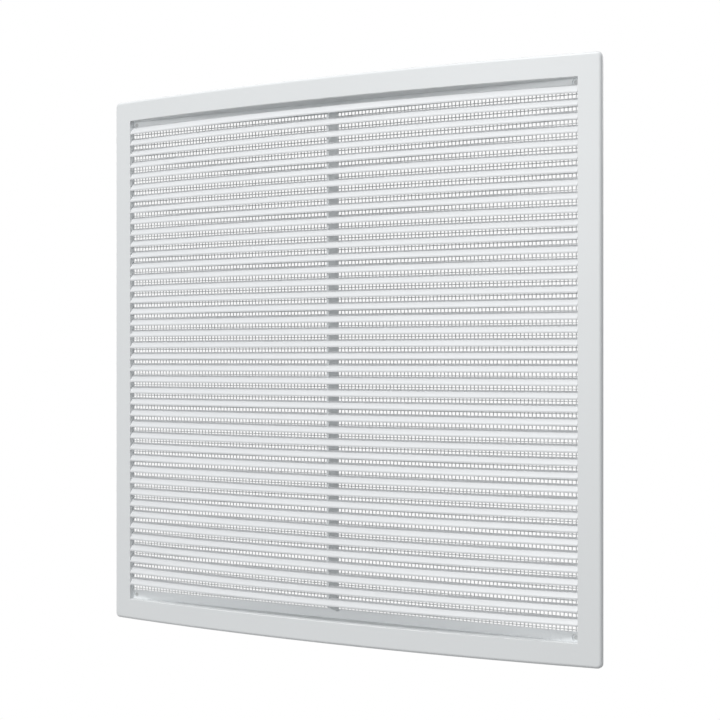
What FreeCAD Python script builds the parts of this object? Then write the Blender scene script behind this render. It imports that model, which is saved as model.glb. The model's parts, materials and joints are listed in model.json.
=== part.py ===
"""Louvred air grille: a bowed face frame, a flat mounting frame, fixed slats in notched uprights, and a net.

Millimetres. +Z is up, the grille faces -Y, and the wall is the plane Y = 0. The face and the slats are bowed
about one upright axis behind the wall, at Y = axis_depth. Sketches draw only named cells of the sheet.
"""
import FreeCAD, Part
import math
import os
import Sketcher

doc = FreeCAD.newDocument("air_grille")
sheet = doc.addObject("Spreadsheet::Sheet", "Sizes")

# Driving sizes. Each is set by itself.
DRIVING = {
    "overall_width": 450.0,
    "overall_height": 450.0,
    "bow_rise": 16.2,             # how far the middle of the face stands in front of its side edges
    "edge_depth": 4.0,            # wall to face at the side edges
    "border_width": 17.7,         # face frame, outer edge to opening
    "corner_radius": 3.8,
    "edge_radius": 2.4,
    "lip_radius": 0.5,            # front edge of the opening
    "skin": 1.9,                  # wall of the face frame
    "ledge": 1.8,                 # wall above and below the opening
    "plate_thick": 1.6,           # mounting frame
    "plate_play": 0.2,            # mounting frame to the skirt around it
    "top_strip": 8.8,             # mounting frame seen above the slats
    "bottom_strip": 7.5,          # and below them
    "slat_count": 41.0,
    "top_margin": 8.8,            # opening edge to the middle of the first slat
    "bottom_margin": 15.0,
    "tail_gap": 0.14,             # slat's rear edge to the mounting frame, at the slat's ends
    "slat_rise": 5.0,
    "slat_thick": 2.1,            # measured upright
    "slat_setback": 0.2,          # slat nose behind the face
    "nose_radius": 0.4,
    "tongue_length": 1.3,         # slat end inside the comb
    "end_play": 0.1,              # slat end to the edge of the face frame
    "comb_width": 3.0,
    "comb_play": 0.1,             # comb to the skin in front of it
    "seat_depth": 1.5,            # pocket in the comb
    "seat_play": 0.2,             # around a slat in its seat
    "tab_length": 8.0,            # comb's locating tab
    "tab_thick": 1.4,
    "tab_play": 0.1,
    "rib_thick": 2.0,             # centre mullion
    "rib_reach": 1.2,             # mullion in front of the slats' rear edge
    "rib_top_land": 4.2,          # mullion's end in the plate, past the edge of the strip
    "rib_bottom_land": 2.0,
    "net_thick": 0.3,
    "net_play": 0.2,              # net to the sides of its rebate
    "rebate_depth": 0.8,
    "rebate_side": 3.7,           # net beyond the opening, at the sides
    "rebate_end": 3.0,            # net beyond the bottom strip, between the screws
    "rebate_corner": 0.9,         # and beside the screws
    "retainer_thick": 0.4,
    "screw_inset": 3.1,           # opening edge to screw axis
    "screw_radius": 1.7,
    "screw_recess_radius": 3.0,
    "screw_recess_depth": 0.9,
    "peg_radius": 2.5,
    "peg_play": 0.1,
    "peg_spacing": 260.0,
    "peg_short": 0.3,             # peg tip in front of the wall
}

# Sizes worked out from the driving ones, in the sheet's own formulas.
DERIVED = {
    "half_width": "overall_width / 2",
    "half_height": "overall_height / 2",
    "total_depth": "edge_depth + bow_rise",
    "face_radius": "(half_width ^ 2 + bow_rise ^ 2) / (2 * bow_rise)",
    "axis_depth": "face_radius - total_depth",
    "open_x": "half_width - border_width",
    "open_z": "half_height - border_width",
    "skin_radius": "face_radius - skin",
    "skirt_x": "half_width - skin",
    "skirt_z": "half_height - skin",
    "plate_x": "skirt_x - plate_play",
    "plate_z": "skirt_z - plate_play",
    "plate_front": "-plate_thick",
    "strip_top_z": "open_z - top_strip",
    "strip_bottom_z": "-open_z + bottom_strip",
    "ledge_z": "open_z + ledge",
    "skin_at_open": "axis_depth - sqrt(skin_radius ^ 2 - open_x ^ 2)",
    "comb_outer": "open_x + comb_width",
    "comb_front_inner": "skin_at_open + comb_play",
    "comb_front_outer": "axis_depth - sqrt(skin_radius ^ 2 - comb_outer ^ 2) + comb_play",
    "slat_pitch": "(2 * open_z - top_margin - bottom_margin) / (slat_count - 1)",
    "first_slat_z": "open_z - top_margin",
    "tongue_end": "open_x + tongue_length",
    "tail_reach": "sqrt(tongue_end ^ 2 + (axis_depth + plate_thick + tail_gap) ^ 2)",
    "slat_depth": "face_radius - slat_setback - tail_reach",
    "nose_y": "-total_depth + slat_setback",
    "tail_y": "nose_y + slat_depth",
    "nose_low": "-(slat_rise + slat_thick) / 2",
    "nose_high": "nose_low + slat_thick",
    "tail_low": "nose_low + slat_rise",
    "tail_high": "tail_low + slat_thick",
    "slope": "slat_rise / slat_depth",
    "sweep": "2 * asin(half_width / (face_radius - total_depth))",
    "body_end": "open_x - end_play",
    "tongue_step": "axis_depth - sqrt(skin_radius ^ 2 - tongue_end ^ 2) + comb_play",
    "trim_far": "half_width + 50",
    "trim_front": "-total_depth - 10",
    "trim_back": "total_depth + 10",
    # a slat's seat in the comb: the section at the tongue's end with play all round, and room above for the bow
    "nose_radius_out": "face_radius - slat_setback",
    "comb_nose_y": "axis_depth - sqrt(nose_radius_out ^ 2 - tongue_end ^ 2)",
    "tongue_bow": "sqrt(nose_radius_out ^ 2 - open_x ^ 2) - sqrt(nose_radius_out ^ 2 - tongue_end ^ 2)",
    "seat_height": "slat_thick + 2 * seat_play + slope * tongue_bow",
    "seat_front_y": "tongue_step - seat_play",
    "seat_rear_y": "axis_depth - sqrt((nose_radius_out - slat_depth) ^ 2 - tongue_end ^ 2) + seat_play",
    "seat_front_low": "nose_low + slope * (seat_front_y - comb_nose_y) - seat_play",
    "seat_front_high": "seat_front_low + seat_height",
    "seat_rear_low": "nose_low + slope * (seat_rear_y - comb_nose_y) - seat_play",
    "seat_rear_high": "seat_rear_low + seat_height",
    "tab_front": "plate_front - seat_play",
    "tab_back": "-rebate_depth - tab_play",
    "tab_near": "open_x + (comb_width - tab_thick) / 2",
    "tab_far": "tab_near + tab_thick",
    "tab_half": "tab_length / 2",
    "slot_near": "tab_near - tab_play",
    "slot_far": "tab_far + tab_play",
    "slot_half": "tab_length / 2 + tab_play",
    # centre mullion, and its seat for the first slat, seen from the side
    "rib_back": "-rebate_depth - seat_play",
    "rib_front": "tail_y - rib_reach",
    "rib_seat_front": "rib_front - seat_play",
    "rib_seat_rear": "tail_y + seat_play",
    "rib_seat_front_low": "first_slat_z + tail_low - slope * (rib_reach + seat_play) - seat_play",
    "rib_seat_front_high": "rib_seat_front_low + slat_thick + 2 * seat_play",
    "rib_seat_rear_low": "first_slat_z + tail_low + slope * seat_play - seat_play",
    "rib_seat_rear_high": "rib_seat_rear_low + slat_thick + 2 * seat_play",
    "rib_top_high": "strip_top_z + rib_top_land",
    "rib_top_low": "first_slat_z + tail_high",
    "rib_top_front": "rib_top_low - slope * rib_reach",
    "last_slat_z": "-open_z + bottom_margin",
    "rib_bottom_low": "strip_bottom_z - rib_bottom_land",
    "rib_bottom_front": "last_slat_z + nose_low",
    "notch_half": "rib_thick / 2 + tab_play",
    "rib_notch_top": "rib_top_high + tab_play",
    "rib_notch_bottom": "rib_bottom_low - tab_play",
    # net, its rebate and the strips that hold it
    "net_x": "open_x + rebate_side",
    "net_corner_x": "open_x - screw_inset - screw_radius - net_play * 2",
    "net_top_z": "open_z - bottom_strip + rebate_end",
    "net_corner_z": "open_z - bottom_strip + rebate_corner",
    "net_back": "rebate_depth - net_thick",
    "retainer_rear": "net_back - retainer_thick",
    "rebate_x": "net_x + net_play",
    "rebate_corner_x": "net_corner_x + net_play",
    "rebate_top_z": "net_top_z + net_play",
    "rebate_corner_z": "net_corner_z + net_play",
    "retainer_gap": "net_play",
    "retainer_side_x": "open_x + retainer_gap",
    "retainer_side_z": "net_corner_z - retainer_gap",
    "retainer_end_z": "net_corner_z - rebate_corner + retainer_gap",
    # screws and pegs
    "screw_x": "open_x - screw_inset",
    "screw_z": "open_z - screw_inset",
    "peg_x": "(comb_outer + skirt_x) / 2",
    "peg_z": "(ledge_z + skirt_z) / 2",
    "peg_half": "peg_spacing / 2",
    "peg_side_length": "-(axis_depth - sqrt(face_radius ^ 2 - peg_x ^ 2)) - skin / 2 - peg_short",
    "peg_bar_length": "-(axis_depth - sqrt(face_radius ^ 2 - peg_half ^ 2)) - skin / 2 - peg_short",
    "peg_hole_radius": "peg_radius + peg_play",
    # the comb's seat at the height of the first slat
    "pocket_front_low": "first_slat_z + seat_front_low",
    "pocket_front_high": "first_slat_z + seat_front_high",
    "pocket_rear_low": "first_slat_z + seat_rear_low",
    "pocket_rear_high": "first_slat_z + seat_rear_high",
}


def fill_sheet():
    """Write the driving numbers, then the formulas, one named cell each."""
    row = 0
    for name, value in DRIVING.items():
        row += 1
        sheet.set(f"A{row}", str(value))
        sheet.setAlias(f"A{row}", name)
    for name, formula in DERIVED.items():
        row += 1
        sheet.set(f"A{row}", "=" + formula)
        sheet.setAlias(f"A{row}", name)
    doc.recompute()


def size(name):
    """Number in a named cell. A leading minus gives its negative."""
    if name.startswith("-"):
        return -size(name[1:])
    if name == "0":
        return 0.0
    cell = sheet.get(name)
    return float(getattr(cell, "Value", cell))


def cell(name):
    """The same name as an expression."""
    if name == "0":
        return "0"
    if name.startswith("-"):
        return "-Sizes." + name[1:]
    return "Sizes." + name


def new_body(label):
    body = doc.addObject("PartDesign::Body", label)
    body.Label = label
    body.Placement = FreeCAD.Placement()
    return body


def origin_plane(body, role):
    """One of the body's own origin planes or axes, by its role."""
    for feature in body.Origin.OriginFeatures:
        if feature.Role == role:
            return feature
    raise RuntimeError(role)


def new_sketch(body, name, role, offset="0"):
    """An empty sketch on an origin plane, moved along its normal by a named size."""
    sketch = body.newObject("Sketcher::SketchObject", name)
    sketch.AttachmentSupport = [(origin_plane(body, role), "")]
    sketch.MapMode = "FlatFace"
    sketch.setExpression("AttachmentOffset.Base.z", cell(offset))
    return sketch


def constrain(sketch, kind, *where_and_name):
    """One dimension, bound to a named cell."""
    name = where_and_name[-1]
    index = sketch.addConstraint(Sketcher.Constraint(kind, *where_and_name[:-1], size(name)))
    sketch.setExpression(f"Constraints[{index}]", cell(name))


def draw_polygon(sketch, corners):
    """Closed outline of straight lines through corners given as pairs of names."""
    points = [FreeCAD.Vector(size(across), size(along), 0) for across, along in corners]
    count = len(points)
    first = sketch.GeometryCount
    for i in range(count):
        sketch.addGeometry(Part.LineSegment(points[i], points[(i + 1) % count]), False)
    for i in range(count):
        sketch.addConstraint(Sketcher.Constraint("Coincident", first + i, 2, first + (i + 1) % count, 1))
    for i, (across, along) in enumerate(corners):
        constrain(sketch, "DistanceX", first + i, 1, across)
        constrain(sketch, "DistanceY", first + i, 1, along)


def draw_rectangle(sketch, left, right, bottom, top):
    draw_polygon(sketch, [(left, bottom), (right, bottom), (right, top), (left, top)])


def draw_bowed(sketch, left, right, radius, back):
    """Plan outline: straight sides and back, and an arc about the bow's axis in front."""
    curve = size(radius)
    centre = FreeCAD.Vector(0, size("axis_depth"), 0)
    sides = [size(left), size(right)]
    fronts = [centre.y - math.sqrt(curve ** 2 - side ** 2) for side in sides]
    angles = [math.atan2(front - centre.y, side) for side, front in zip(sides, fronts)]
    first = sketch.GeometryCount
    circle = Part.Circle(centre, FreeCAD.Vector(0, 0, 1), curve)
    sketch.addGeometry(Part.ArcOfCircle(circle, angles[0], angles[1]), False)
    front_right = FreeCAD.Vector(sides[1], fronts[1], 0)
    back_right = FreeCAD.Vector(sides[1], size(back), 0)
    back_left = FreeCAD.Vector(sides[0], size(back), 0)
    front_left = FreeCAD.Vector(sides[0], fronts[0], 0)
    sketch.addGeometry(Part.LineSegment(front_right, back_right), False)
    sketch.addGeometry(Part.LineSegment(back_right, back_left), False)
    sketch.addGeometry(Part.LineSegment(back_left, front_left), False)
    sketch.addConstraint(Sketcher.Constraint("Coincident", first, 2, first + 1, 1))
    sketch.addConstraint(Sketcher.Constraint("Coincident", first + 1, 2, first + 2, 1))
    sketch.addConstraint(Sketcher.Constraint("Coincident", first + 2, 2, first + 3, 1))
    sketch.addConstraint(Sketcher.Constraint("Coincident", first + 3, 2, first, 1))
    constrain(sketch, "Radius", first, radius)
    constrain(sketch, "DistanceX", first, 3, "0")
    constrain(sketch, "DistanceY", first, 3, "axis_depth")
    constrain(sketch, "DistanceX", first + 1, 1, right)
    constrain(sketch, "DistanceX", first + 1, 2, right)
    constrain(sketch, "DistanceY", first + 1, 2, back)
    constrain(sketch, "DistanceX", first + 2, 2, left)
    constrain(sketch, "DistanceY", first + 2, 2, back)
    constrain(sketch, "DistanceX", first, 1, left)


def draw_circle(sketch, across, along, radius):
    centre = FreeCAD.Vector(size(across), size(along), 0)
    index = sketch.addGeometry(Part.Circle(centre, FreeCAD.Vector(0, 0, 1), size(radius)), False)
    constrain(sketch, "Radius", index, radius)
    constrain(sketch, "DistanceX", index, 3, across)
    constrain(sketch, "DistanceY", index, 3, along)


def pad(body, sketch, length, reverse=False, symmetric=False):
    feature = body.newObject("PartDesign::Pad", sketch.Name + "_pad")
    feature.Profile = sketch
    feature.setExpression("Length", length)
    feature.Reversed = reverse
    if symmetric:
        feature.SideType = "Symmetric"
    doc.recompute()
    return feature


def cut(body, sketch, length=None, reverse=False, symmetric=False):
    """Pocket of a given length, or right through both ways. It must take material away."""
    before = body.Shape.Volume
    feature = body.newObject("PartDesign::Pocket", sketch.Name + "_cut")
    feature.Profile = sketch
    feature.Reversed = reverse
    if length is None:
        feature.Type = "ThroughAll"
    else:
        feature.setExpression("Length", length)
    if symmetric or length is None:
        feature.SideType = "Symmetric"
    doc.recompute()
    if body.Shape.Volume >= before:
        raise RuntimeError(feature.Name + " cut nothing")
    return feature


def repeat(body, feature, role, spacing, count):
    """Row of copies of a feature along an origin axis, starting with the feature itself."""
    pattern = body.newObject("PartDesign::LinearPattern", feature.Name + "_row")
    pattern.Originals = [feature]
    pattern.Direction = (origin_plane(body, role), [""])
    pattern.Mode = "Spacing"
    pattern.Reversed = spacing < 0
    pattern.setExpression("Offset", "Sizes.slat_pitch")
    pattern.setExpression("Occurrences", count)
    body.Tip = pattern
    doc.recompute()
    return pattern


def round_edges(body, base, radius, wanted):
    """Fillet the edges of the base feature that the test picks."""
    names = []
    for number, edge in enumerate(base.Shape.Edges, 1):
        if wanted(edge):
            names.append(f"Edge{number}")
    feature = body.newObject("PartDesign::Fillet", base.Name + "_round")
    feature.Base = (base, names)
    feature.setExpression("Radius", radius)
    doc.recompute()
    return feature


def on_cylinder(edge, radius):
    """True when both ends and the middle of an edge lie at this distance from the bow's axis."""
    middle = edge.valueAt((edge.FirstParameter + edge.LastParameter) / 2)
    points = [vertex.Point for vertex in edge.Vertexes] + [middle]
    return all(abs(math.hypot(p.x, p.y - size("axis_depth")) - radius) < 0.001 for p in points)


def make_bezel_frame():
    """Bowed face frame: a shell with a skirt to the wall, two ledges and eight pegs."""
    body = new_body("bezel_frame")
    outline = new_sketch(body, "bezel_plan", "XY_Plane")
    draw_bowed(outline, "-half_width", "half_width", "face_radius", "0")
    block = pad(body, outline, "Sizes.overall_height", symmetric=True)
    half_width = size("half_width")
    rounded = round_edges(body, block, "Sizes.corner_radius", lambda edge: is_corner(edge, half_width))
    face_radius = size("face_radius")
    round_edges(body, rounded, "Sizes.edge_radius", lambda edge: on_cylinder(edge, face_radius))
    opening = new_sketch(body, "bezel_opening", "XZ_Plane")
    draw_rectangle(opening, "-open_x", "open_x", "-open_z", "open_z")
    opened = cut(body, opening)
    round_edges(body, opened, "Sizes.lip_radius", lambda edge: on_cylinder(edge, face_radius) and is_lip(edge))
    seat = new_sketch(body, "bezel_plate_seat", "XZ_Plane")
    draw_rectangle(seat, "-skirt_x", "skirt_x", "-skirt_z", "skirt_z")
    cut(body, seat, "Sizes.plate_thick", reverse=True)
    for side in ("", "-"):
        bar = new_sketch(body, "bezel_bar", "XY_Plane", side + "ledge_z")
        draw_bowed(bar, "-skirt_x", "skirt_x", "skin_radius", "plate_front")
        cut(body, bar, "Sizes.skirt_z - Sizes.ledge_z", reverse=side == "")
        post = new_sketch(body, "bezel_post", "XY_Plane")
        limits = ("open_x", "skirt_x") if side == "" else ("-skirt_x", "-open_x")
        draw_bowed(post, limits[0], limits[1], "skin_radius", "plate_front")
        cut(body, post, "2 * Sizes.ledge_z", symmetric=True)
    side_pegs = new_sketch(body, "bezel_side_pegs", "XZ_Plane", "peg_short")
    bar_pegs = new_sketch(body, "bezel_bar_pegs", "XZ_Plane", "peg_short")
    for side in ("", "-"):
        for end in ("", "-"):
            draw_circle(side_pegs, side + "peg_x", end + "peg_half", "peg_radius")
            draw_circle(bar_pegs, side + "peg_half", end + "peg_z", "peg_radius")
    pad(body, side_pegs, "Sizes.peg_side_length")
    pad(body, bar_pegs, "Sizes.peg_bar_length")
    return body


def is_corner(edge, half_width):
    """True for the four short edges that run front to back at the outer corners."""
    points = [vertex.Point for vertex in edge.Vertexes]
    along_depth = abs(points[0].x - points[1].x) < 0.001 and abs(points[0].z - points[1].z) < 0.001
    return along_depth and abs(abs(points[0].x) - half_width) < 0.001


def is_lip(edge):
    """True for the edges around the opening."""
    points = [vertex.Point for vertex in edge.Vertexes]
    return all(abs(p.x) < size("open_x") + 0.001 and abs(p.z) < size("open_z") + 0.001 for p in points)


def make_mounting_frame():
    """Flat frame against the wall, with the screw holes, the net's rebate and the seats of its neighbours."""
    body = new_body("mounting_frame")
    outline = new_sketch(body, "plate_outline", "XZ_Plane")
    draw_rectangle(outline, "-plate_x", "plate_x", "-plate_z", "plate_z")
    draw_rectangle(outline, "-open_x", "open_x", "strip_bottom_z", "strip_top_z")
    pad(body, outline, "Sizes.plate_thick")
    rebate = new_sketch(body, "net_rebate", "XZ_Plane")
    draw_net_outline(rebate, "rebate_x", "rebate_corner_x", "rebate_top_z", "rebate_corner_z")
    cut(body, rebate, "Sizes.rebate_depth", reverse=True)
    holes = new_sketch(body, "plate_holes", "XZ_Plane")
    recesses = new_sketch(body, "screw_recesses", "XZ_Plane", "plate_thick")
    slots = new_sketch(body, "tab_slots", "XZ_Plane")
    for side in ("", "-"):
        for end in ("", "-"):
            draw_circle(holes, side + "screw_x", end + "screw_z", "screw_radius")
            draw_circle(recesses, side + "screw_x", end + "screw_z", "screw_recess_radius")
            draw_circle(holes, side + "peg_x", end + "peg_half", "peg_hole_radius")
            draw_circle(holes, side + "peg_half", end + "peg_z", "peg_hole_radius")
    draw_rectangle(slots, "slot_near", "slot_far", "-slot_half", "slot_half")
    draw_rectangle(slots, "-slot_far", "-slot_near", "-slot_half", "slot_half")
    draw_rectangle(slots, "-notch_half", "notch_half", "strip_top_z", "rib_notch_top")
    draw_rectangle(slots, "-notch_half", "notch_half", "rib_notch_bottom", "strip_bottom_z")
    cut(body, holes)
    cut(body, recesses, "Sizes.screw_recess_depth")
    cut(body, slots)
    return body


def draw_net_outline(sketch, wide, narrow, tall, short):
    """A cross: the full width between the screws, and taller between them."""
    draw_polygon(sketch, [
        (wide, "-" + short), (wide, short), (narrow, short), (narrow, tall),
        ("-" + narrow, tall), ("-" + narrow, short), ("-" + wide, short), ("-" + wide, "-" + short),
        ("-" + narrow, "-" + short), ("-" + narrow, "-" + tall), (narrow, "-" + tall), (narrow, "-" + short),
    ])


def make_slat(number):
    """One bowed slat: its section turned about the bow's axis, then its ends cut back to tongues."""
    body = new_body(f"louvre_{number:02d}")
    section = new_sketch(body, "slat_section", "YZ_Plane")
    draw_polygon(section, [
        ("nose_y", "nose_low"), ("tail_y", "tail_low"), ("tail_y", "tail_high"), ("nose_y", "nose_high"),
    ])
    low = FreeCAD.Vector(size("axis_depth"), 0, 0)
    high = FreeCAD.Vector(size("axis_depth"), 1, 0)
    axis = section.addGeometry(Part.LineSegment(low, high), True)
    section.addConstraint(Sketcher.Constraint("Vertical", axis))
    section.addConstraint(Sketcher.Constraint("Distance", axis, 1.0))
    section.addConstraint(Sketcher.Constraint("PointOnObject", axis, 1, -1))
    constrain(section, "DistanceX", axis, 1, "axis_depth")
    turned = body.newObject("PartDesign::Revolution", "slat_turned")
    turned.Profile = section
    turned.ReferenceAxis = (section, ["Axis0"])
    turned.setExpression("Angle", "Sizes.sweep")
    turned.Midplane = True
    doc.recompute()
    nose = size("nose_radius_out")
    round_edges(body, turned, "Sizes.nose_radius", lambda edge: on_cylinder(edge, nose) and is_level(edge))
    ends = new_sketch(body, "slat_ends", "XY_Plane")
    draw_slat_end(ends, "")
    draw_slat_end(ends, "-")
    cut(body, ends)
    body.setExpression("Placement.Base.z", f"Sizes.first_slat_z - {number - 1} * Sizes.slat_pitch")
    return body


def is_level(edge):
    return abs(edge.Vertexes[0].Point.z - edge.Vertexes[-1].Point.z) < 0.001


def draw_slat_end(sketch, side):
    """What is cut away at one end, leaving a tongue behind the face frame's skin."""
    draw_polygon(sketch, [
        (side + "body_end", "trim_front"), (side + "trim_far", "trim_front"),
        (side + "trim_far", "trim_back"),
        (side + "tongue_end", "trim_back"), (side + "tongue_end", "tongue_step"),
        (side + "body_end", "tongue_step"),
    ])


def make_side_comb(label, side):
    """Upright behind the face frame, with a pocket for each slat and a tab in the mounting frame."""
    body = new_body(label)
    plan = new_sketch(body, "comb_plan", "XY_Plane")
    draw_polygon(plan, [
        (side + "open_x", "plate_front"), (side + "comb_outer", "plate_front"),
        (side + "comb_outer", "comb_front_outer"), (side + "open_x", "comb_front_inner"),
    ])
    pad(body, plan, "2 * Sizes.open_z", symmetric=True)
    tab = new_sketch(body, "comb_tab", "XZ_Plane", "-tab_back")
    near, far = ("tab_near", "tab_far") if side == "" else ("-tab_far", "-tab_near")
    draw_rectangle(tab, near, far, "-tab_half", "tab_half")
    pad(body, tab, "Sizes.tab_back - Sizes.tab_front")
    pocket = new_sketch(body, "comb_pocket", "YZ_Plane", side + "open_x")
    draw_polygon(pocket, [
        ("seat_front_y", "pocket_front_low"), ("seat_rear_y", "pocket_rear_low"),
        ("seat_rear_y", "pocket_rear_high"), ("seat_front_y", "pocket_front_high"),
    ])
    first = cut(body, pocket, "Sizes.seat_depth", reverse=side == "")
    repeat(body, first, "Z_Axis", -1, "Sizes.slat_count")
    return body


def make_centre_mullion():
    """Upright rib in the middle, with an open seat in its front for the rear edge of each slat."""
    body = new_body("centre_mullion")
    profile = new_sketch(body, "rib_profile", "YZ_Plane")
    draw_polygon(profile, [
        ("rib_back", "rib_bottom_low"), ("rib_back", "rib_top_high"), ("plate_front", "rib_top_high"),
        ("rib_seat_rear", "rib_top_low"), ("rib_front", "rib_top_front"), ("rib_front", "rib_bottom_front"),
        ("plate_front", "rib_bottom_low"),
    ])
    pad(body, profile, "Sizes.rib_thick", symmetric=True)
    seat = new_sketch(body, "rib_seat", "YZ_Plane")
    draw_polygon(seat, [
        ("rib_seat_front", "rib_seat_front_low"), ("rib_seat_rear", "rib_seat_rear_low"),
        ("rib_seat_rear", "rib_seat_rear_high"), ("rib_seat_front", "rib_seat_front_high"),
    ])
    first = cut(body, seat)
    repeat(body, first, "Z_Axis", -1, "Sizes.slat_count")
    return body


def make_insect_screen():
    body = new_body("insect_screen")
    outline = new_sketch(body, "net_outline", "XZ_Plane", "net_back")
    draw_net_outline(outline, "net_x", "net_corner_x", "net_top_z", "net_corner_z")
    pad(body, outline, "Sizes.net_thick")
    return body


def make_retainer(label, left, right, bottom, top):
    """Strip pressed into the rebate behind the net."""
    body = new_body(label)
    outline = new_sketch(body, "strip_outline", "XZ_Plane", "retainer_rear")
    draw_rectangle(outline, left, right, bottom, top)
    pad(body, outline, "Sizes.retainer_thick")
    return body


def export(bodies):
    """Check every object, then write one STEP file for each piece."""
    doc.recompute()
    for item in doc.Objects:
        if "Invalid" in item.State or "Error" in item.State:
            raise RuntimeError(item.Name + " is in error")
    os.makedirs("parts", exist_ok=True)
    for body in bodies:
        if body.Shape.isNull() or not body.Shape.isValid():
            raise RuntimeError(body.Label + " has no valid shape")
        body.Shape.exportStep(f"parts/{body.Label}.step")
        print(body.Label, len(body.Shape.Solids), round(body.Shape.Volume, 1))


fill_sheet()
pieces = [make_bezel_frame(), make_mounting_frame()]
pieces += [make_slat(number) for number in range(1, int(size("slat_count")) + 1)]
pieces += [make_side_comb("left_side_comb", "-"), make_side_comb("right_side_comb", "")]
pieces += [make_centre_mullion(), make_insect_screen()]
pieces += [
    make_retainer("screen_retainer_top", "-net_corner_x", "net_corner_x", "retainer_end_z", "net_top_z"),
    make_retainer("screen_retainer_bottom", "-net_corner_x", "net_corner_x", "-net_top_z", "-retainer_end_z"),
    make_retainer("screen_retainer_left", "-net_x", "-retainer_side_x", "-retainer_side_z", "retainer_side_z"),
    make_retainer("screen_retainer_right", "retainer_side_x", "net_x", "-retainer_side_z", "retainer_side_z"),
]
export(pieces)
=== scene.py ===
# %% [markdown]
# # A louvred air grille
# A square face frame of moulded plastic, bowed forward about an upright axis, holds forty-one fixed slats.
# The slats slope down towards the room, one thin rib ties them in the middle, and a fine net lies flat
# behind them. The CAD model gives every hard piece its true place, so this lesson adds only what CAD is
# poor at: the woven threads of the net, the thin webs in the screw holes, the finish of the plastic, and
# the light.

# %% Load the frame
import json
import math
import bpy
import numpy as np
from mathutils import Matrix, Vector


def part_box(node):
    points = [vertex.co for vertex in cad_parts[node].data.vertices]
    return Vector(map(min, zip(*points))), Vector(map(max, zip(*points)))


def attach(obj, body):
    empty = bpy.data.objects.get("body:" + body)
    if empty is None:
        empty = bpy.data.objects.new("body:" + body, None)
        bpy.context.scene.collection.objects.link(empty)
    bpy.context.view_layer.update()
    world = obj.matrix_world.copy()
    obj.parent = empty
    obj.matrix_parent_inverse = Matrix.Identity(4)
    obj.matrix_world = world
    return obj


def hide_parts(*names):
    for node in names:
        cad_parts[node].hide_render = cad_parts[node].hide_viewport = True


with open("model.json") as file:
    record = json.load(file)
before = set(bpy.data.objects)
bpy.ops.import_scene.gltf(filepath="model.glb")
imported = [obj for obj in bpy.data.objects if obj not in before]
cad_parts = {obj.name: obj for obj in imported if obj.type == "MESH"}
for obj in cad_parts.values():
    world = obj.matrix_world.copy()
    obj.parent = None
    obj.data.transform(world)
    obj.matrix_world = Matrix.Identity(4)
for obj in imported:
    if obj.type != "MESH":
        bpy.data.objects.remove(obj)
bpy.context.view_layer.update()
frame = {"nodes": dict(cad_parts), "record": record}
print("pieces in the frame:", len(frame["nodes"]))

# %% [markdown]
# ## Sizes
# What has to meet the CAD pieces is worked out from their boxes, in metres. The face frame says how low the
# grille reaches, and the net's sheet gives the plane that the threads are woven in and how far they run.

# %% Read the sizes
face_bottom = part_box("bezel_frame")[0].z
net_low, net_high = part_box("insect_screen")
net_plane = (net_low.y + net_high.y) / 2
print("bottom at", round(face_bottom, 4), "net plane at", round(net_plane, 5))

# %% [markdown]
# ## Putting a grid of points into a mesh
# A woven thread is a tube: rows of points along it, and a few points round it. One helper joins any number
# of such grids. It works out all the faces at once from the point numbers, so hundreds of threads need no
# loop.

# %% Grids to meshes
def add_object(name, points, faces, smooth=True):
    """Object from an array of points and an array of four-cornered faces, with its place in its mesh."""
    mesh = bpy.data.meshes.new(name)
    mesh.from_pydata(points.reshape(-1, 3).tolist(), [], faces.tolist())
    mesh.validate()
    mesh.polygons.foreach_set("use_smooth", np.full(len(mesh.polygons), smooth))
    mesh.update()
    made = bpy.data.objects.new(name, mesh)
    bpy.context.scene.collection.objects.link(made)
    return made


def tube_faces(tubes, rows, around):
    """Faces of many tubes whose points are numbered tube by tube, row by row. Each tube is closed round its
    section and shut at both ends by one flat face."""
    start = np.arange(tubes)[:, None, None] * rows * around
    row = np.arange(rows - 1)[None, :, None] * around
    here = np.arange(around)[None, None, :]
    after = (here + 1) % around
    quads = np.stack([start + row + here, start + row + after,
                      start + row + around + after, start + row + around + here], axis=-1).reshape(-1, 4)
    section = np.arange(around)
    first = start[:, 0] + section[::-1]
    last = start[:, 0] + (rows - 1) * around + section
    return np.concatenate([quads, first, last])


# %% [markdown]
# ## The net
# An insect net is woven like cloth: each thread goes over one neighbour and under the next. Along a thread
# the height is plus or minus a little under half a thread at alternate crossings, so that crossing threads
# press into each other as welded ones do, and the threads beside it do the opposite. Four sides and one row
# of points for each crossing are enough for something under a millimetre thick.

# %% Weave the net
THREAD = 0.0007
THREAD_PITCH_ACROSS = 0.00319
THREAD_PITCH_UP = 0.003055
NET_SIDES = 4
SECTION_RADIUS = 0.6 * THREAD
WEAVE_HEIGHT = 0.38 * THREAD


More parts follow.
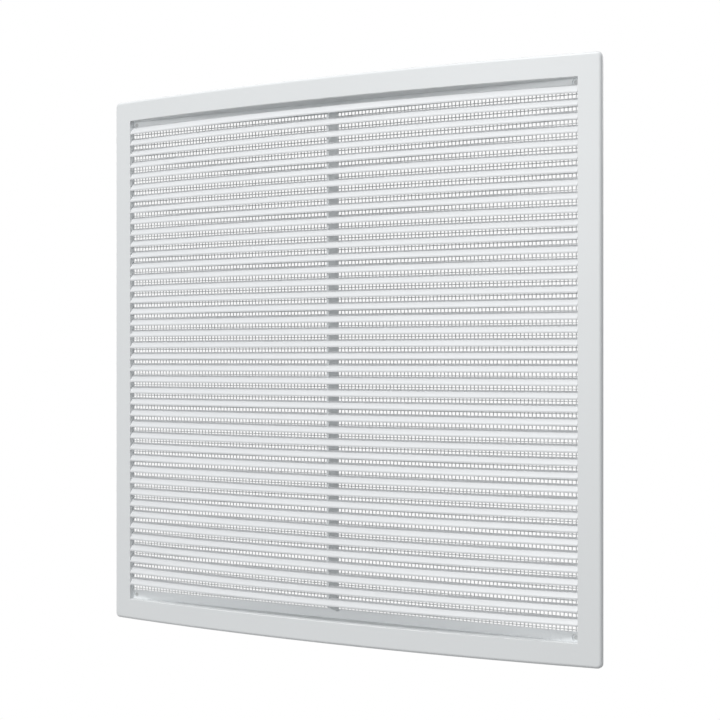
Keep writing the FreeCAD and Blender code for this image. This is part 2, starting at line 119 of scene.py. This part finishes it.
def woven_threads(length_from, length_to, places, pitch_along, upright, phase):
    """Points of parallel threads. Along a thread, row k lies at k pitches from the middle. Its height is the
    weave height where k, the thread's own number and the phase add to an even number, and minus that
    elsewhere."""
    half_rows = int(max(abs(length_from), abs(length_to)) // pitch_along)
    steps = np.arange(-half_rows, half_rows + 1)
    along = steps * pitch_along
    inside = (along > length_from) & (along < length_to)
    steps, along = steps[inside], along[inside]
    number = np.round(places / (places[1] - places[0])).astype(int)
    sign = 1 - 2 * ((steps[None, :] + number[:, None] + phase) % 2)
    height = net_plane + sign * WEAVE_HEIGHT
    turn = np.arange(NET_SIDES) * 2 * np.pi / NET_SIDES + np.pi / 4
    aside = places[:, None, None] + np.cos(turn)[None, None, :] * SECTION_RADIUS + 0 * height[:, :, None]
    depth = height[:, :, None] + np.sin(turn)[None, None, :] * SECTION_RADIUS
    run = np.broadcast_to(along[None, :, None], aside.shape)
    if upright:
        return np.stack([aside, depth, run], axis=-1), len(along)
    return np.stack([run, depth, aside], axis=-1), len(along)


def thread_places(half, pitch):
    """Whole numbers of pitches to both sides of the middle, as many as fit in the half width."""
    count = int(half // pitch)
    return np.arange(-count, count + 1) * pitch


across = thread_places(net_high.x - THREAD, THREAD_PITCH_ACROSS)
up = thread_places(net_high.z - THREAD, THREAD_PITCH_UP)
warp_points, warp_rows = woven_threads(net_low.z, net_high.z, across, THREAD_PITCH_UP, True, 0)
weft_points, weft_rows = woven_threads(net_low.x, net_high.x, up, THREAD_PITCH_ACROSS, False, 1)
warp = add_object("net_warp", warp_points, tube_faces(len(across), warp_rows, NET_SIDES)[:, ::-1])
weft = add_object("net_weft", weft_points, tube_faces(len(up), weft_rows, NET_SIDES))
for thread_set in (warp, weft):
    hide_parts("insect_screen")
    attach(thread_set, "root")
print("threads", len(across), "upright and", len(up), "level")

# %% [markdown]
# ## Closed screw holes
# The screw holes are shut by thin webs that a fitter would pierce. The CAD holes stay open, so that the
# screw pattern is real, and the webs are thin round plates drawn here, as far apart as the record's screws.
# A square grid is bent into a disc by one formula, which keeps every face four-cornered. Their darker grey
# is painted shade, for the shade deep in the holes.

# %% Webs in the screw holes
WEB_RADIUS = 0.00168
WEB_FRONT = -0.0006
WEB_BACK = -0.0002
WEB_POINTS = 9


def round_webs(centres):
    """Closed discs, one for each centre. A point u, v of the square goes to u * root(1 - v v / 2) across and
    v * root(1 - u u / 2) up, times the radius, once in front and once at the back."""
    line = np.linspace(-1.0, 1.0, WEB_POINTS)
    u, v = np.meshgrid(line, line, indexing="ij")
    across = u * np.sqrt(1 - v ** 2 / 2) * WEB_RADIUS
    up = v * np.sqrt(1 - u ** 2 / 2) * WEB_RADIUS
    ends = [np.stack([across, np.full_like(u, depth), up], axis=-1) for depth in (WEB_FRONT, WEB_BACK)]
    points = np.stack(ends)[None] + np.array(centres)[:, None, None, None, :]
    number = np.arange(points[..., 0].size).reshape(points.shape[:-1])
    front, back = number[:, 0], number[:, 1]

    def cells(grid):
        """Faces between neighbouring points of each disc."""
        corners = [grid[:, :-1, :-1], grid[:, 1:, :-1], grid[:, 1:, 1:], grid[:, :-1, 1:]]
        return np.stack(corners, axis=-1).reshape(-1, 4)

    def loop(grid):
        """Numbers round the rim of each disc, in order."""
        sides = [grid[:, :-1, 0], grid[:, -1, :-1], grid[:, :0:-1, -1], grid[:, 0, :0:-1]]
        return np.concatenate(sides, axis=1)

    ahead, behind = loop(front), loop(back)
    next_ahead, next_behind = np.roll(ahead, -1, axis=1), np.roll(behind, -1, axis=1)
    rim = np.stack([ahead, behind, next_behind, next_ahead], axis=-1).reshape(-1, 4)
    return points, np.concatenate([cells(front), cells(back)[:, ::-1], rim])


screw_mount = next(mount for mount in frame["record"]["mounts"] if mount["name"] == "wall_screws")
MM = 0.001
screw_aside = screw_mount["dims"]["spacing_x_mm"] * MM / 2
web_centres = [(side * screw_aside, 0.0, end * screw_aside) for side in (-1, 1) for end in (-1, 1)]
web_points, web_faces = round_webs(web_centres)
webs = add_object("screw_webs", web_points, web_faces, smooth=False)
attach(webs, "root")
print("webs", len(web_centres), "faces", len(web_faces))

# %% [markdown]
# ## Shader maths as sentences
# A material's pattern is arithmetic on values. The small class below lets that arithmetic be written as
# plain expressions, and adds one Math node for each operation. Every other node comes from one method.

# %% A socket that can be added and multiplied
class Value:
    """An output socket, or a number, in one node tree, with the operators that this lesson uses."""

    def __init__(self, tree, socket):
        self.tree = tree
        self.socket = socket

    def maths(self, operation, first, second):
        """One Math node that works on two values or numbers."""
        node = self.tree.nodes.new("ShaderNodeMath")
        node.operation = operation
        for slot, item in zip(node.inputs, (first, second)):
            if isinstance(item, Value):
                self.tree.links.new(item.socket, slot)
            else:
                slot.default_value = item
        return Value(self.tree, node.outputs[0])

    def clamped(self):
        """The value held between 0 and 1."""
        held = self.maths("ADD", self, 0.0)
        held.socket.node.use_clamp = True
        return held

    def __add__(self, other):
        return self.maths("ADD", self, other)

    def __sub__(self, other):
        return self.maths("SUBTRACT", self, other)

    def __rsub__(self, other):
        return self.maths("SUBTRACT", other, self)

    def __mul__(self, other):
        return self.maths("MULTIPLY", self, other)

    __radd__ = __add__
    __rmul__ = __mul__


class Paint:
    """A new material with a Principled shader, and one method that adds any node to it."""

    def __init__(self, name):
        self.material = bpy.data.materials.new(name)
        self.material.use_nodes = True
        self.tree = self.material.node_tree
        self.shader = self.tree.nodes["Principled BSDF"]
        self.place = self.node("ShaderNodeTexCoord").outputs["Object"]

    def node(self, kind, settings=None, **sockets):
        """Any node, with its settings, and its sockets fed by a value, a socket or a number."""
        made = self.tree.nodes.new(kind)
        for key, item in (settings or {}).items():
            setattr(made, key, item)
        for key, item in sockets.items():
            slot = made.inputs[key.replace("_", " ")]
            if isinstance(item, Value):
                self.tree.links.new(item.socket, slot)
            elif isinstance(item, bpy.types.NodeSocket):
                self.tree.links.new(item, slot)
            else:
                slot.default_value = item
        return made

    def noise(self, scale, detail=2.0):
        """Soft noise between 0 and 1, at so many waves to the metre."""
        made = self.node("ShaderNodeTexNoise", Vector=self.place, Scale=scale, Detail=detail)
        return Value(self.tree, made.outputs["Fac"])

    def mix(self, amount, first, second):
        """Colour between two others: the first where the amount is 0, the second where it is 1."""
        made = self.node("ShaderNodeMix", {"data_type": "RGBA"})
        self.tree.links.new(amount.socket, made.inputs["Factor"])
        colours = [slot for slot in made.inputs if slot.type == "RGBA"]
        colours[0].default_value = first
        colours[1].default_value = second
        return [slot for slot in made.outputs if slot.type == "RGBA"][0]

    def feed(self, name, source):
        """Join a value or a socket to one of the shader's inputs."""
        socket = source.socket if isinstance(source, Value) else source
        self.tree.links.new(socket, self.shader.inputs[name])


# %% [markdown]
# ## Moulded plastic
# White moulded plastic is never one flat colour. The pigment drifts a little over a hand's width, the
# surface keeps a very fine grain from the steel of the mould, and the sheen wanders where it has been
# handled. So the base colour mixes two near whites by a slow noise, the roughness follows that noise and a
# fine one, and the fine one feeds a weak bump.

# %% Plastic finishes
DRIFT_WAVES = 14.0
GRAIN_WAVES = 900.0
GRAIN_DETAIL = 3.0
GRAIN_DEPTH = 0.00005
ROUGHNESS_DRIFT = 0.10
ROUGHNESS_GRAIN = 0.04
PLASTIC_IOR = 1.52


def moulded_plastic(name, light, dark, roughness, grain):
    """Satin plastic: colour between two near whites, a fine grain, and a roughness that drifts about its
    mean. Both noises average a half, so half of each drift is taken off the mean."""
    paint = Paint(name)
    slow = paint.noise(DRIFT_WAVES)
    fine = paint.noise(GRAIN_WAVES, GRAIN_DETAIL)
    lowest = roughness - (ROUGHNESS_DRIFT + ROUGHNESS_GRAIN) / 2
    paint.feed("Base Color", paint.mix(slow, (*dark, 1.0), (*light, 1.0)))
    paint.feed("Roughness", slow * ROUGHNESS_DRIFT + fine * ROUGHNESS_GRAIN + lowest)
    bump = paint.node("ShaderNodeBump", Strength=grain, Distance=GRAIN_DEPTH, Height=fine)
    paint.feed("Normal", bump.outputs["Normal"])
    paint.shader.inputs["IOR"].default_value = PLASTIC_IOR
    return paint.material


finishes = {
    "face_plastic": moulded_plastic("face_plastic", (0.81, 0.825, 0.83), (0.78, 0.795, 0.80), 0.42, 0.15),
    "slat_plastic": moulded_plastic("slat_plastic", (0.79, 0.80, 0.81), (0.76, 0.77, 0.78), 0.42, 0.20),
    "frame_plastic": moulded_plastic("frame_plastic", (0.84, 0.86, 0.87), (0.81, 0.83, 0.84), 0.50, 0.30),
    "strip_plastic": moulded_plastic("strip_plastic", (0.76, 0.77, 0.77), (0.72, 0.73, 0.73), 0.55, 0.30),
    # The webs' darker grey is painted shade: it stands for the shade inside the screw holes, not for a
    # darker plastic.
    "web_painted_shade": moulded_plastic("web_painted_shade", (0.62, 0.63, 0.63), (0.57, 0.58, 0.58), 0.55, 0.30),
    "net_plastic": moulded_plastic("net_plastic", (0.86, 0.87, 0.87), (0.82, 0.83, 0.83), 0.50, 0.10),
}
slot_of = {part["node"]: part["material_slot"] for part in frame["record"]["subparts"]}
for name, node in frame["nodes"].items():
    node.data.materials.clear()
    node.data.materials.append(finishes[slot_of[name]])
for thread_set in (warp, weft):
    thread_set.data.materials.append(finishes["net_plastic"])
# The webs get the darker grey that paints the shade in the screw holes.
webs.data.materials.append(finishes["web_painted_shade"])
print("finishes:", ", ".join(finishes))

# %% [markdown]
# ## Floor, light and camera
# The grille hangs on a wall, so it is shown in the air, well above a floor that catches its shadow. A lamp
# high in front gives the slats their bright tops and their thin shadows. A weaker, broader one lights the
# recesses, one above brightens the rim, and one behind shows the net's side. The camera sees white air, and
# a floor that turns white a little way off. The light path tells these apart, so no lamp has to be raised
# for it.

# %% Floor and air
FLOOR_DROP = 0.9
FLOOR_REACH = 4.0
WHITE_FROM = 0.5
AIR_STRENGTH = 0.36
floor_level = face_bottom - FLOOR_DROP


def seen_directly(tree):
    """1 for rays from the camera and for what gloss and glass show, 0 for the light that falls on things."""
    rays = tree.nodes.new("ShaderNodeLightPath")
    kinds = ("Camera", "Glossy", "Transmission")
    eye, gloss, glass = [Value(tree, rays.outputs[f"Is {kind} Ray"]) for kind in kinds]
    return eye + gloss + glass


def blend_to_white(tree, amount, lit_socket, white, output):
    """Shader that goes from the lit one to plain white as the amount goes from 0 to 1."""
    white.inputs["Color"].default_value = (1.0, 1.0, 1.0, 1.0)
    white.inputs["Strength"].default_value = 1.0
    blend = tree.nodes.new("ShaderNodeMixShader")
    tree.links.new(amount.socket, blend.inputs[0])
    tree.links.new(lit_socket, blend.inputs[1])
    tree.links.new(white.outputs[0], blend.inputs[2])
    tree.links.new(blend.outputs[0], output.inputs["Surface"])


def pale_floor():
    """Square of matt floor, pale where it is looked at and darker for the light it throws back. Near the
    object it keeps the shadow. Its white share is the distance from the middle less the distance where white
    starts, held between 0 and 1."""
    corners = FLOOR_REACH * np.array([[-1, -1, 0], [1, -1, 0], [1, 1, 0], [-1, 1, 0]])
    made = add_object("floor", corners, np.array([[0, 1, 2, 3]]), smooth=False)
    made.location.z = floor_level
    paint = Paint("pale_floor")
    seen = seen_directly(paint.tree)
    paint.feed("Base Color", paint.mix(seen, (0.30, 0.30, 0.30, 1.0), (0.86, 0.86, 0.86, 1.0)))
    paint.shader.inputs["Roughness"].default_value = 0.9
    length = paint.node("ShaderNodeVectorMath", {"operation": "LENGTH"}, Vector=paint.place)
    far = (Value(paint.tree, length.outputs["Value"]) - WHITE_FROM).clamped()
    output = next(node for node in paint.tree.nodes if node.type == "OUTPUT_MATERIAL")
    white = paint.node("ShaderNodeEmission")
    blend_to_white(paint.tree, far * seen, paint.shader.outputs[0], white, output)
    made.data.materials.append(paint.material)


def white_air(strength):
    """World that is white where it is looked at and gives a weaker, cooler light."""
    world = bpy.data.worlds.new("air")
    world.use_nodes = True
    bpy.context.scene.world = world
    tree = world.node_tree
    dim = next(node for node in tree.nodes if node.type == "BACKGROUND")
    dim.inputs["Color"].default_value = (0.95, 0.98, 1.0, 1.0)
    dim.inputs["Strength"].default_value = strength
    output = next(node for node in tree.nodes if node.type == "OUTPUT_WORLD")
    blend_to_white(tree, seen_directly(tree), dim.outputs[0], tree.nodes.new("ShaderNodeBackground"), output)


pale_floor()
white_air(AIR_STRENGTH)
print("floor at", round(floor_level, 3))


# %% Lamps
def soft_lamp(name, place, width, height, power):
    """Rectangular white lamp turned to face the middle of the grille's back."""
    data = bpy.data.lights.new(name, "AREA")
    data.shape = "RECTANGLE"
    data.size = width
    data.size_y = height
    data.energy = power
    lamp = bpy.data.objects.new(name, data)
    lamp.location = place
    lamp.rotation_mode = "QUATERNION"
    lamp.rotation_quaternion = (-Vector(place)).to_track_quat("-Z", "Y")
    bpy.context.scene.collection.objects.link(lamp)


soft_lamp("key_lamp", place=(-0.1, -1.6, 2.55), width=0.5, height=0.3, power=40.0)
soft_lamp("front_lamp", place=(-0.3, -3.0, 0.5), width=1.2, height=0.8, power=26.0)
soft_lamp("back_lamp", place=(0.9, 2.4, 1.0), width=1.2, height=0.8, power=16.0)
soft_lamp("top_lamp", place=(0.1, -0.5, 1.6), width=1.0, height=0.8, power=3.0)

# %% [markdown]
# The camera stands to the right of the grille at the height of its middle, a little over a metre away, with
# a 75 mm lens. It is level, so upright edges stay upright.

# %% Camera
CAMERA_TURN = math.radians(30.06)
CAMERA_AWAY = 1.213
CAMERA_ASIDE = 0.0176
LENS = 75.5


def level_camera():
    """Camera on a level circle round the net's middle, then moved aside along its own width."""
    data = bpy.data.cameras.new("camera")
    data.sensor_width = 36.0
    data.lens = LENS
    data.clip_start = 0.05
    camera = bpy.data.objects.new("camera", data)
    sine, cosine = math.sin(CAMERA_TURN), math.cos(CAMERA_TURN)
    camera.location = (CAMERA_AWAY * sine + CAMERA_ASIDE * cosine,
                       net_plane - CAMERA_AWAY * cosine + CAMERA_ASIDE * sine, 0.0)
    camera.rotation_euler = (math.pi / 2, 0.0, CAMERA_TURN)
    bpy.context.scene.collection.objects.link(camera)
    bpy.context.scene.camera = camera
    return camera


camera = level_camera()
bpy.context.scene.view_settings.view_transform = "Standard"
print("camera at", [round(part, 3) for part in camera.location])
